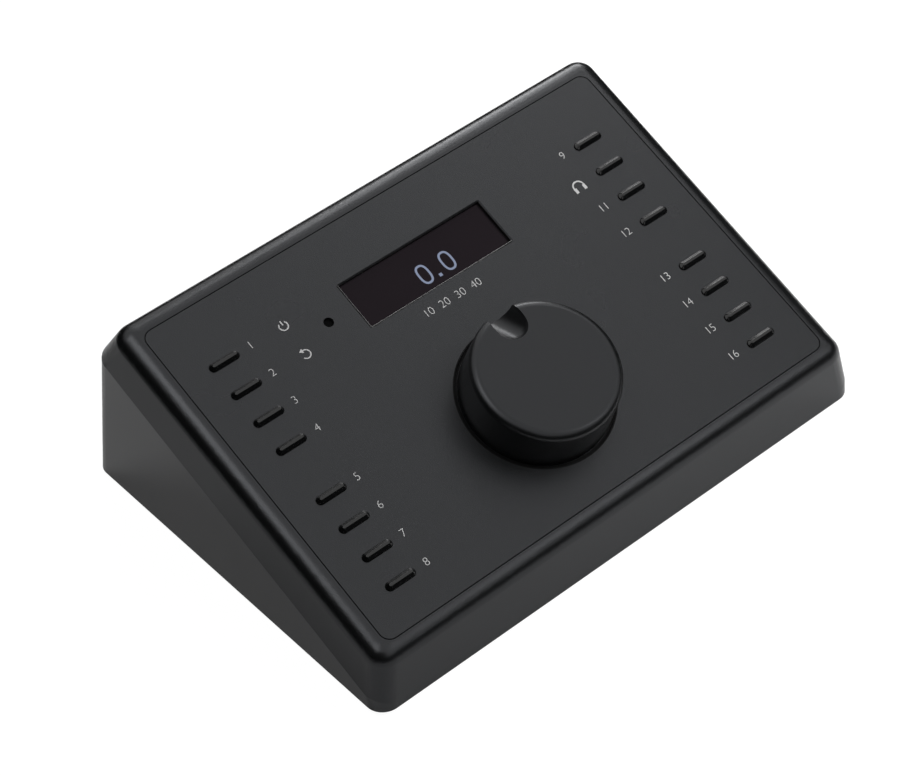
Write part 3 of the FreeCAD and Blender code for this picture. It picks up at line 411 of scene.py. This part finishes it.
def lit_figures():
    """Pale blue light, a little uneven."""
    f = finish("lit_figures")
    even = f.noise(900.0, detail=1.0)
    bright = (0.21, 0.25, 0.36)
    pale = tuple(c * 0.94 for c in bright)
    return f.surface(Base_Color=rgb(0.02),
                     Roughness=0.4,
                     Specular_IOR_Level=0.1,
                     Emission_Color=f.mix(even, (*pale, 1.0), (*bright, 1.0)),
                     Emission_Strength=1.0)


def printed_ink():
    f = finish("printed_ink")
    cover = f.noise(3500.0, detail=1.0)
    return f.surface(Base_Color=f.mix(cover, rgb(0.42), rgb(0.52)),
                     Roughness=f.spread(cover, 0.5, 0.6))


HOUSING = coated("housing_coat", level=0.006, rough=0.25, grain=3300.0, depth=0.036 * MM, specular=0.435)
PANEL_COAT = coated("panel_coat", level=0.006, rough=0.28, grain=3800.0, depth=0.05 * MM, specular=0.435)
KNOB = coated("knob_satin", level=0.0042, rough=0.32, grain=5200.0, depth=0.003 * MM, specular=0.40)
KEY = polished("key_gloss", level=0.004, rough=0.06)
REAR_COAT = coated("rear_coat", level=0.013, rough=0.35, grain=3000.0, depth=0.02 * MM)
BASE = coated("base_coat", level=0.013, rough=0.4, grain=2600.0, depth=0.02 * MM)
PLASTIC = moulded("black_plastic", level=0.008, rough=0.4)
# Matt black that paints the shade in the gap round the knob
WELL_PAINTED_SHADE = moulded("well_painted_shade", level=0.003, rough=0.6, specular=0.1)
# Pale grey that paints a highlight on the lower left edge of the display's opening
PAINTED_HIGHLIGHT = moulded("painted_highlight_edge", level=0.13, rough=0.5)
LENS = polished("smoked_lens", level=0.0008, rough=0.25, specular=0.03)
RUBBER = soft_rubber()
BOARD = circuit_board()
GLASS = window_glass()
PRINT = printed_ink()
LIT = lit_figures()
BLACK_STEEL = metal("black_steel", (0.05, 0.05, 0.055), rough=0.35)
NICKEL = metal("nickel_plate", (0.55, 0.54, 0.52), rough=0.22)
BRASS = metal("turned_brass", (0.6, 0.42, 0.16), rough=0.28)
GOLD = metal("gold_contact", (0.85, 0.55, 0.18), rough=0.18)

COVERED = {
    HOUSING: ["upper_housing"],
    PANEL_COAT: ["control_panel"],
    KNOB: ["knob"],
    REAR_COAT: ["rear_panel", "digital_input"],
    BASE: ["base_plate"],
    PLASTIC: ["power_inlet", "network_socket_1", "network_socket_2", "digital_input_insert", "line_jack_left",
              "line_jack_right", "headphone_jack", "key_switches", "push_cup", "display_module",
              "sensor_diode"],
    LENS: ["sensor_lens"],
    RUBBER: ["rubber_feet", "panel_gasket"],
    BOARD: ["main_board", "key_board"],
    GLASS: ["display_window"],
    BLACK_STEEL: ["base_screws", "rear_panel_screws", "flange_screws", "key_board_screws",
                  "main_board_screws"],
    NICKEL: ["jack_nuts", "encoder_nut", "encoder_shaft", "encoder_body", "power_pin", "usb_socket"],
    BRASS: ["knob_hub", "board_spacers"],
    KEY: [name for name in NODES if name.startswith("key_left") or name.startswith("key_right")],
}


def dress_nodes():
    for material, names in COVERED.items():
        for name in names:
            mesh = NODES[name].data
            mesh.materials.clear()
            mesh.materials.append(material)


# Making meshes

def linked(name, data):
    made = bpy.data.objects.new(name, data)
    bpy.context.scene.collection.objects.link(made)
    return made


def evaluated(maker):
    """A plain mesh of what an object shows with its modifiers or its curve's thickness."""
    bpy.context.view_layer.update()
    return bpy.data.meshes.new_from_object(maker.evaluated_get(bpy.context.evaluated_depsgraph_get()))


def closed(mesh, place=None):
    """Merges doubled points, turns the faces outwards and moves the mesh to its place."""
    shell = bmesh.new()
    shell.from_mesh(mesh)
    bmesh.ops.remove_doubles(shell, verts=shell.verts, dist=MERGE)
    bmesh.ops.recalc_face_normals(shell, faces=shell.faces)
    shell.to_mesh(mesh)
    shell.free()
    if place is not None:
        mesh.transform(place)
    return mesh


def joined(name, meshes):
    whole = bmesh.new()
    for mesh in meshes:
        whole.from_mesh(mesh)
    made = bpy.data.meshes.new(name)
    whole.to_mesh(made)
    whole.free()
    return made


def strands(paths, radius, loop=False):
    """Round closed tubes along paths of points."""
    curve = bpy.data.curves.new("strands", "CURVE")
    curve.dimensions = "3D"
    curve.bevel_depth = radius
    curve.bevel_resolution = TUBE_ROUNDING
    curve.use_fill_caps = True
    for path in paths:
        spline = curve.splines.new("POLY")
        spline.points.add(len(path) - 1)
        for point, place in zip(spline.points, path):
            point.co = (*place, 1)
        spline.use_cyclic_u = loop
    maker = linked("strands", curve)
    mesh = evaluated(maker)
    bpy.data.objects.remove(maker)
    return closed(mesh)


def print_strokes(paths, width, loop=False):
    """Flat printed strokes of one width, standing on z = 0."""
    mesh = strands([[(x, y, 0) for x, y in path] for path in paths], width / 2, loop)
    mesh.transform(Matrix.Translation((0, 0, INK / 2)) @ Matrix.Diagonal((1, 1, INK / width, 1)))
    return mesh


def plate(outline, thickness):
    """A flat plate of an outline, standing on z = 0."""
    shell = bmesh.new()
    face = shell.faces.new([shell.verts.new((x, y, 0)) for x, y in outline])
    raised = bmesh.ops.extrude_face_region(shell, geom=[face])["geom"]
    corners = [part for part in raised if isinstance(part, bmesh.types.BMVert)]
    bmesh.ops.translate(shell, vec=(0, 0, thickness), verts=corners)
    mesh = bpy.data.meshes.new("plate")
    shell.to_mesh(mesh)
    shell.free()
    return closed(mesh)


def arc(centre, radius, start, end):
    """Points on an arc, its angles in degrees."""
    angles = [math.radians(start + (end - start) * step / ARC_STEPS) for step in range(ARC_STEPS + 1)]
    return [(centre[0] + radius * math.cos(a), centre[1] + radius * math.sin(a)) for a in angles]


def circle(radius):
    """Points on a level circle about the origin, without the first one again."""
    angles = [2 * math.pi * step / CIRCLE_POINTS for step in range(CIRCLE_POINTS)]
    return [(radius * math.cos(a), radius * math.sin(a), 0) for a in angles]


def rectangle(centre, width, height):
    """The corners of a rectangle, in order round it."""
    x, y = centre
    corners = ((-1, -1), (1, -1), (1, 1), (-1, 1))
    return [(x + side * width / 2, y + end * height / 2) for side, end in corners]


def figures(text, height, align):
    """Plain figures as closed flat plates that stand on y = 0 and z = 0, with their height as asked."""
    curve = bpy.data.curves.new("figures", "FONT")
    curve.body = text
    curve.align_x = align
    curve.offset = MARK_THINNING
    curve.extrude = 0.5          # makes the figures one unit thick, which is then scaled to the ink
    maker = linked("figures", curve)
    mesh = evaluated(maker)
    bpy.data.objects.remove(maker)
    top = max(vertex.co.y for vertex in mesh.vertices)
    mesh.transform(Matrix.Diagonal((height / top, height / top, INK, 1)))
    return closed(mesh, Matrix.Translation((0, 0, INK / 2)))


def lathed(profile):
    """A closed turned form: the profile gives radius, height and how deeply lobed each ring is."""
    shell = bmesh.new()
    angles = [2 * math.pi * step / SCREW_SEGMENTS for step in range(SCREW_SEGMENTS)]
    rings = []
    for radius, height, wave in profile:
        reach = [radius * (1 + wave * math.cos(RECESS_LOBES * a)) for a in angles]
        ring = [(r * math.cos(a), r * math.sin(a), height) for r, a in zip(reach, angles)]
        rings.append([shell.verts.new(place) for place in ring])
    for lower, upper in zip(rings, rings[1:]):
        for step in range(SCREW_SEGMENTS):
            after = (step + 1) % SCREW_SEGMENTS
            shell.faces.new((lower[step], lower[after], upper[after], upper[step]))
    shell.faces.new(rings[0][::-1])
    shell.faces.new(rings[-1])
    mesh = bpy.data.meshes.new("lathed")
    shell.to_mesh(mesh)
    shell.free()
    return mesh


def piece(name, mesh, material, body):
    """Links a finished mesh that lies in the part's frame, and hangs it on its body."""
    made = linked(name, mesh)
    mesh.name = name
    mesh.materials.clear()
    mesh.materials.append(material)
    mesh.shade_smooth()
    mesh.set_sharp_from_angle(angle=SMOOTH_ANGLE)
    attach(made, body)
    return made


# Marks

def mark_place(side, number):
    """Where a key's mark starts, in the panel's frame."""
    centre = on_panel(f"key_{side}_{number}")
    gap = MARK_GAP_LEFT if side == "left" else -MARK_GAP_RIGHT
    return centre.x + gap, centre.y


def key_numbers():
    """A plain number beside each key: 1 to 8 down the left column, 9 to 16 down the right one."""
    meshes = []
    for side, first, align in (("left", 1, "LEFT"), ("right", KEYS_IN_COLUMN + 1, "RIGHT")):
        for place in range(KEYS_IN_COLUMN):
            number = KEYS_IN_COLUMN - place
            if f"key_{side}_{number}" == HEADPHONE_KEY:
                continue
            x, y = mark_place(side, number)
            mesh = figures(str(first + place), MARK_HEIGHT, align)
            mesh.transform(PANEL @ Matrix.Translation((x, y - MARK_HEIGHT / 2, 0)))
            meshes.append(mesh)
    piece("key_numbers", joined("key_numbers", meshes), PRINT, "housing")


def power_symbol():
    """An open ring with a bar in its gap."""
    x, y = POWER_SYMBOL
    ring = arc(POWER_SYMBOL, SYMBOL_RADIUS, *POWER_RING)
    bar = [(x, y + end) for end in POWER_BAR]
    return [print_strokes([ring, bar], SYMBOL_STROKE)]


def return_symbol():
    """Most of a circle, with an arrow's head on its upper end."""
    x, y = RETURN_SYMBOL
    ring = arc(RETURN_SYMBOL, SYMBOL_RADIUS, *RETURN_RING)
    back, half = RETURN_HEAD
    top = y + SYMBOL_RADIUS
    head = [(x - SYMBOL_RADIUS, top), (x + back, top - half), (x + back, top + half)]
    return [print_strokes([ring], SYMBOL_STROKE), plate(head, INK)]


def headphone_symbol():
    """A band over two cups."""
    x, y = HEADPHONE_SYMBOL
    band = arc(HEADPHONE_SYMBOL, BAND_RADIUS, *BAND_ARC)
    across, up = CUP_PLACE
    cups = [plate(rectangle((x + side * across, y + up), *CUP_SIZE), INK) for side in (-1, 1)]
    return [print_strokes([band], BAND_WEIGHT * SYMBOL_STROKE)] + cups


def symbols():
    """Common signs beside three keys: power, return and headphones."""
    meshes = power_symbol() + return_symbol() + headphone_symbol()
    for mesh in meshes:
        mesh.transform(PANEL)
    piece("key_symbols", joined("key_symbols", meshes), PRINT, "housing")


def scale_numbers():
    """A short row of plain numbers under the display."""
    meshes = []
    middle = (len(SCALE_MARKS) - 1) / 2
    for place, text in enumerate(SCALE_MARKS):
        x = SCALE_CENTRE[0] + (place - middle) * SCALE_PITCH
        mesh = figures(text, SCALE_HEIGHT, "CENTER")
        mesh.transform(PANEL @ Matrix.Translation((x, SCALE_CENTRE[1], 0)))
        meshes.append(mesh)
    piece("scale_numbers", joined("scale_numbers", meshes), PRINT, "housing")


def zero_path(left):
    """The middle line of a squarish zero."""
    across = (ZERO_WIDTH - FIGURE_STROKE) / 2
    along = (ZERO_HEIGHT - FIGURE_STROKE) / 2
    power = 2 / ZERO_SQUARENESS
    path = []
    for step in range(ZERO_POINTS):
        angle = 2 * math.pi * step / ZERO_POINTS
        x = math.copysign(abs(math.cos(angle)) ** power, math.cos(angle))
        y = math.copysign(abs(math.sin(angle)) ** power, math.sin(angle))
        path.append((left + ZERO_WIDTH / 2 + across * x, ZERO_BASE + ZERO_HEIGHT / 2 + along * y))
    return path


def display_figures():
    """A zero, a point and a zero, on the window's face."""
    lift = Matrix.Translation((0, 0, panel_height("display_window") + LIT_LIFT))
    meshes = [print_strokes([zero_path(left) for left in ZERO_LEFTS], FIGURE_STROKE, loop=True),
              plate(rectangle(DOT_PLACE, DOT_SIZE, DOT_SIZE), INK)]
    for mesh in meshes:
        mesh.transform(PANEL @ lift)
    piece("display_figures", joined("display_figures", meshes), LIT, "housing")


def rear_numbers():
    """A plain number above each socket on the rear panel."""
    meshes = []
    for place, node in enumerate(REAR_SOCKETS):
        low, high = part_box(node)
        x = (low.x + high.x) / 2
        own_nut = [far.z for near, far in solids_in("jack_nuts")
                   if near.x < x < far.x and abs(near.z + far.z - low.z - high.z) < MM]
        top = max([high.z] + own_nut)
        mesh = figures(str(place + 1), REAR_MARK_HEIGHT, "CENTER")
        mesh.transform(REAR @ Matrix.Translation((-x, top + REAR_MARK_GAP, 0)))
        meshes.append(mesh)
    piece("rear_numbers", joined("rear_numbers", meshes), PRINT, "housing")


# Small fittings

def screw(head_radius, length, sizes):
    """A screw with a rounded head and a six-lobed recess; its head's face lies on z = 0.

    The outline runs from the tip of the shank up round the head and down into the recess.
    """
    shank, head_height, recess, depth = sizes
    profile = [(shank * 0.6, -length, 0), (shank, -length + shank * 0.4, 0), (shank, -head_height, 0),
               (head_radius, -head_height, 0), (head_radius, -head_height * 0.45, 0),
               (head_radius * 0.95, -head_height * 0.2, 0), (head_radius * 0.85, -head_height * 0.06, 0),
               (head_radius * 0.7, 0, 0), (recess * 1.16, 0, 0), (recess, -0.08 * MM, LOBE_DEPTH),
               (recess, -depth, LOBE_DEPTH), (recess * 0.5, -depth - 0.12 * MM, LOBE_DEPTH)]
    return lathed(profile)


def screws(node, sizes, axis, side, seed):
    """Takes the place of a node's screws, whose heads lie at the low (0) or high (1) end of an axis."""
    boxes = solids_in(node)
    low, high = boxes[0]
    across = next(place for place in range(3) if place != axis)
    item = linked("screw", screw((high[across] - low[across]) / 2, high[axis] - low[axis], sizes))
    places = bpy.data.meshes.new("places")
    middles = [(near + far) / 2 for near, far in boxes]
    for middle, corners in zip(middles, boxes):
        middle[axis] = corners[side][axis]
    places.from_pydata(middles, [], [])
    out = Vector((0, 0, 0))
    out[axis] = 1 if side else -1
    mesh = AT_POINTS.mesh(places, Item=item, Facing=out.to_track_quat("Z", "Y").to_euler(), Seed=seed,
                          Material=BLACK_STEEL)
    bpy.data.objects.remove(item)
    made = piece(node + "_detailed", mesh, BLACK_STEEL, "housing")
    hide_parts(node)


def network_contacts():
    """Sprung gold wires in the mouths of the two network sockets."""
    wire = strands([[(0, y * MM, z * MM) for y, z in CONTACT_ROUTE]], CONTACT_WIRE)
    item = linked("contact", wire)
    starts = []
    for node in ("network_socket_1", "network_socket_2"):
        low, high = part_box(node)
        first = (low.x + high.x) / 2 - CONTACT_PITCH * (CONTACT_COUNT - 1) / 2
        starts.append((first, high.y, low.z + CONTACT_CEILING))
    places = bpy.data.meshes.new("places")
    places.from_pydata(starts, [], [])
    mesh = IN_ROW.mesh(places, Item=item, Count=CONTACT_COUNT, Step=(CONTACT_PITCH, 0, 0), Material=GOLD)
    bpy.data.objects.remove(item)
    piece("network_contacts", mesh, GOLD, "housing")


def jack_threads():
    """Rings of thread on the noses of the round jacks, outside their nuts."""
    ring = strands([circle(THREAD_RADIUS)], THREAD_WIRE, loop=True)
    item = linked("thread", closed(ring, Matrix.Rotation(math.radians(90), 4, "X")))
    starts = [((low.x + high.x) / 2, high.y + THREAD_START, (low.z + high.z) / 2)
              for low, high in solids_in("jack_nuts")]
    places = bpy.data.meshes.new("places")
    places.from_pydata(starts, [], [])
    mesh = IN_ROW.mesh(places, Item=item, Count=THREAD_RINGS, Step=(0, THREAD_PITCH, 0), Material=NICKEL)
    bpy.data.objects.remove(item)
    piece("jack_threads", mesh, NICKEL, "housing")


def add_well_painted_shade():
    """Black rings painted as shade: one over the edge of the knob's recess, hiding its lit chamfer, and one
    on the recess's floor, where the gap round the knob lies in shade.
    """
    for name, (radius, width, height) in WELL_SHADE_RINGS.items():
        mesh = print_strokes([[(x, y) for x, y, z in circle(radius)]], width, loop=True)
        mesh.transform(PANEL @ Matrix.Translation((0, 0, height)))
        piece(name, mesh, WELL_PAINTED_SHADE, "housing")


def opening_edge():
    """A thin sloping pale strip in the corner of the display's opening, left and below: a painted highlight
    where the edge catches light.
    """
    back = PANEL.inverted()
    places = [back @ vertex.co for vertex in NODES["display_window"].data.vertices]
    face = [place for place in places if place.z > max(p.z for p in places) - MERGE]
    left, right = min(p.x for p in face) - OPENING_GAP, max(p.x for p in face) + OPENING_GAP
    low, top = min(p.y for p in face) - OPENING_GAP, max(p.y for p in face) + OPENING_GAP
    section = [(0, 0), (OPENING_EDGE, -OPENING_EDGE_DROP), (0, -OPENING_EDGE_DROP)]
    ends = [[(left + reach, top, z) for reach, z in section],
            [(left + reach, low + reach, z) for reach, z in section],
            [(right, low + reach, z) for reach, z in section]]
    shell = bmesh.new()
    rings = [[shell.verts.new(place) for place in end] for end in ends]
    for first, second in zip(rings, rings[1:]):
        for step in range(len(section)):
            after = (step + 1) % len(section)
            shell.faces.new((first[step], first[after], second[after], second[step]))
    shell.faces.new(rings[0])
    shell.faces.new(rings[-1])
    mesh = bpy.data.meshes.new("opening_edge")
    shell.to_mesh(mesh)
    shell.free()
    piece("opening_edge", closed(mesh, PANEL), PAINTED_HIGHLIGHT, "housing")


AT_POINTS = copies_at_points()
IN_ROW = copies_in_row()


# Light, floor and camera

LAMP_TARGET = (0, 0, 0.04)
LAMPS = {                        # bearing from +x and height in degrees, distance, sides, power
    "softbox_left": (180, 64, 1.1, (0.5, 0.55), 2.1),
    "softbox_right": (14, 50, 1.1, (0.35, 0.35), 0.6),
    "softbox_front": (306, 42, 0.9, (0.12, 0.3), 0.35),
    "strip_back": (48, 26, 0.8, (0.36, 0.18), 1.5),
    "strip_high": (48, 46, 0.8, (0.3, 0.21), 0.75),
}
FLOOR_LAMP = (315, 40, 0.42, (0.2, 0.2), 1.25)      # lights the paper and isn't mirrored by the object
WORLD_PLAIN = 0.12               # how strongly the white room lights; where it is seen it is 1
FLOOR_PAPER = 0.87
FLOOR_SHOWN = 0.8                # share of plain white in the floor that the camera sees
FLOOR_MIRRORED = 0.06            # share of it in the floor that the object mirrors
FLOOR_GLOW = 1.2                 # strength of that plain white
FLOOR_SIZE = 3.0
FLOOR_DROP = 0.05 * MM
CARD_RADIUS = 0.26
CARD_TALL = 0.2
CARD_LOW = {(20, 95): 0.12, (240, 335): 0.10}     # lower stretches of the ring, by bearing
CARD_STEPS = 120
SHELF = ((-0.2, 0.3), (-0.25, -0.09), 0.015)      # card lying in front: reach in x and in y, height


def add_camera():
    data = bpy.data.cameras.new("camera")
    data.lens = CAMERA_LENS
    data.sensor_width = CAMERA_SENSOR
    data.clip_start, data.clip_end = CAMERA_REACH
    camera = linked("camera", data)
    camera.location = CAMERA_PLACE
    camera.rotation_euler = Euler([math.radians(a) for a in CAMERA_TURN])
    bpy.context.scene.camera = camera


def add_lamp(name, bearing, height, distance, size, power):
    data = bpy.data.lights.new(name, "AREA")
    data.shape = "RECTANGLE"
    data.size, data.size_y = size
    data.energy = power
    lamp = linked(name, data)
    way = Euler((0, -math.radians(height), math.radians(bearing))).to_matrix() @ Vector((1, 0, 0))
    lamp.location = Vector(LAMP_TARGET) + way * distance
    lamp.rotation_euler = (-way).to_track_quat("-Z", "Y").to_euler()
    lamp.visible_camera = False
    return lamp


def looks(f):
    """1 for rays from the camera, and 1 for rays mirrored by or sent through the object."""
    camera, glossy, through = [f.node("ShaderNodeLightPath", output=name)
                               for name in ("Is Camera Ray", "Is Glossy Ray", "Is Transmission Ray")]
    return camera, glossy + through


def add_world():
    world = bpy.data.worlds.new("studio")
    bpy.context.scene.world = world
    f = Finish(world)
    camera, mirrored = looks(f)
    strength = f.spread(camera + mirrored, WORLD_PLAIN, 1.0)
    background = f.node("ShaderNodeBackground", sockets={"Color": (1, 1, 1, 1), "Strength": strength})
    f.node("ShaderNodeOutputWorld", sockets={"Surface": background})


def stage_piece(name, mesh, material):
    made = linked(name, mesh)
    mesh.materials.append(material)
    return made


def add_floor():
    """White paper that keeps the shadow and, from below, lets the underside be seen."""
    f = finish("floor_white")
    camera, mirrored = looks(f)
    shade = f.noise(2.0, detail=1.0)
    colour = f.mix(shade, rgb(FLOOR_PAPER - 0.01), rgb(FLOOR_PAPER))
    paper = f.node("ShaderNodeBsdfDiffuse", sockets={"Color": colour})
    glow = f.node("ShaderNodeEmission", sockets={"Color": (1, 1, 1, 1), "Strength": FLOOR_GLOW})
    share = camera * FLOOR_SHOWN + mirrored * FLOOR_MIRRORED
    both = f.node("ShaderNodeMixShader", sockets={0: share, 1: paper, 2: glow})
    below = f.node("ShaderNodeNewGeometry", output="Backfacing")
    clear = f.node("ShaderNodeBsdfTransparent")
    shown = f.node("ShaderNodeMixShader", sockets={0: below, 1: both, 2: clear})
    f.node("ShaderNodeOutputMaterial", sockets={"Surface": shown})
    mesh = bpy.data.meshes.new("floor")
    corners = [(x, y, -FLOOR_DROP) for x, y in rectangle((0, 0), FLOOR_SIZE, FLOOR_SIZE)]
    mesh.from_pydata(corners, [], [(0, 1, 2, 3)])
    stage_piece("floor", mesh, f.owner)


def add_black_cards():
    """A ring of black card and one lying in front, which darken what glossy surfaces see near the horizon."""
    f = finish("black_card")
    fibre = f.noise(300.0)
    material = f.surface(Base_Color=f.mix(fibre, rgb(0.004), rgb(0.006)),
                         Roughness=0.9,
                         Specular_IOR_Level=0.1)
    places = []
    for step in range(CARD_STEPS):
        bearing = 360 * step / CARD_STEPS
        x = CARD_RADIUS * math.cos(math.radians(bearing))
        y = CARD_RADIUS * math.sin(math.radians(bearing))
        height = next((low for (start, end), low in CARD_LOW.items() if start < bearing < end), CARD_TALL)
        places += [(x, y, 0), (x, y, height)]
    count = len(places)
    faces = [(foot, (foot + 2) % count, (foot + 3) % count, foot + 1) for foot in range(0, count, 2)]
    (left, right), (near, far), height = SHELF
    places += [(left, near, height), (right, near, height), (right, far, height), (left, far, height)]
    mesh = bpy.data.meshes.new("black_cards")
    mesh.from_pydata(places, [], faces + [(count, count + 1, count + 2, count + 3)])
    cards = stage_piece("black_cards", mesh, material)
    cards.visible_camera = False
    cards.visible_shadow = False
    cards.visible_diffuse = False


def main():
    bpy.context.scene.view_settings.view_transform = "Standard"
    add_camera()
    dress_nodes()
    key_numbers()
    symbols()
    scale_numbers()
    display_figures()
    rear_numbers()
    screws("base_screws", BASE_SCREW, axis=2, side=0, seed=3)
    screws("rear_panel_screws", SMALL_SCREW, axis=1, side=1, seed=5)
    screws("flange_screws", SMALL_SCREW, axis=1, side=1, seed=8)
    network_contacts()
    jack_threads()
    add_well_painted_shade()
    opening_edge()
    add_world()
    add_floor()
    add_black_cards()
    for name, settings in LAMPS.items():
        add_lamp(name, *settings)
    add_lamp("floor_lamp", *FLOOR_LAMP).visible_glossy = False


main()
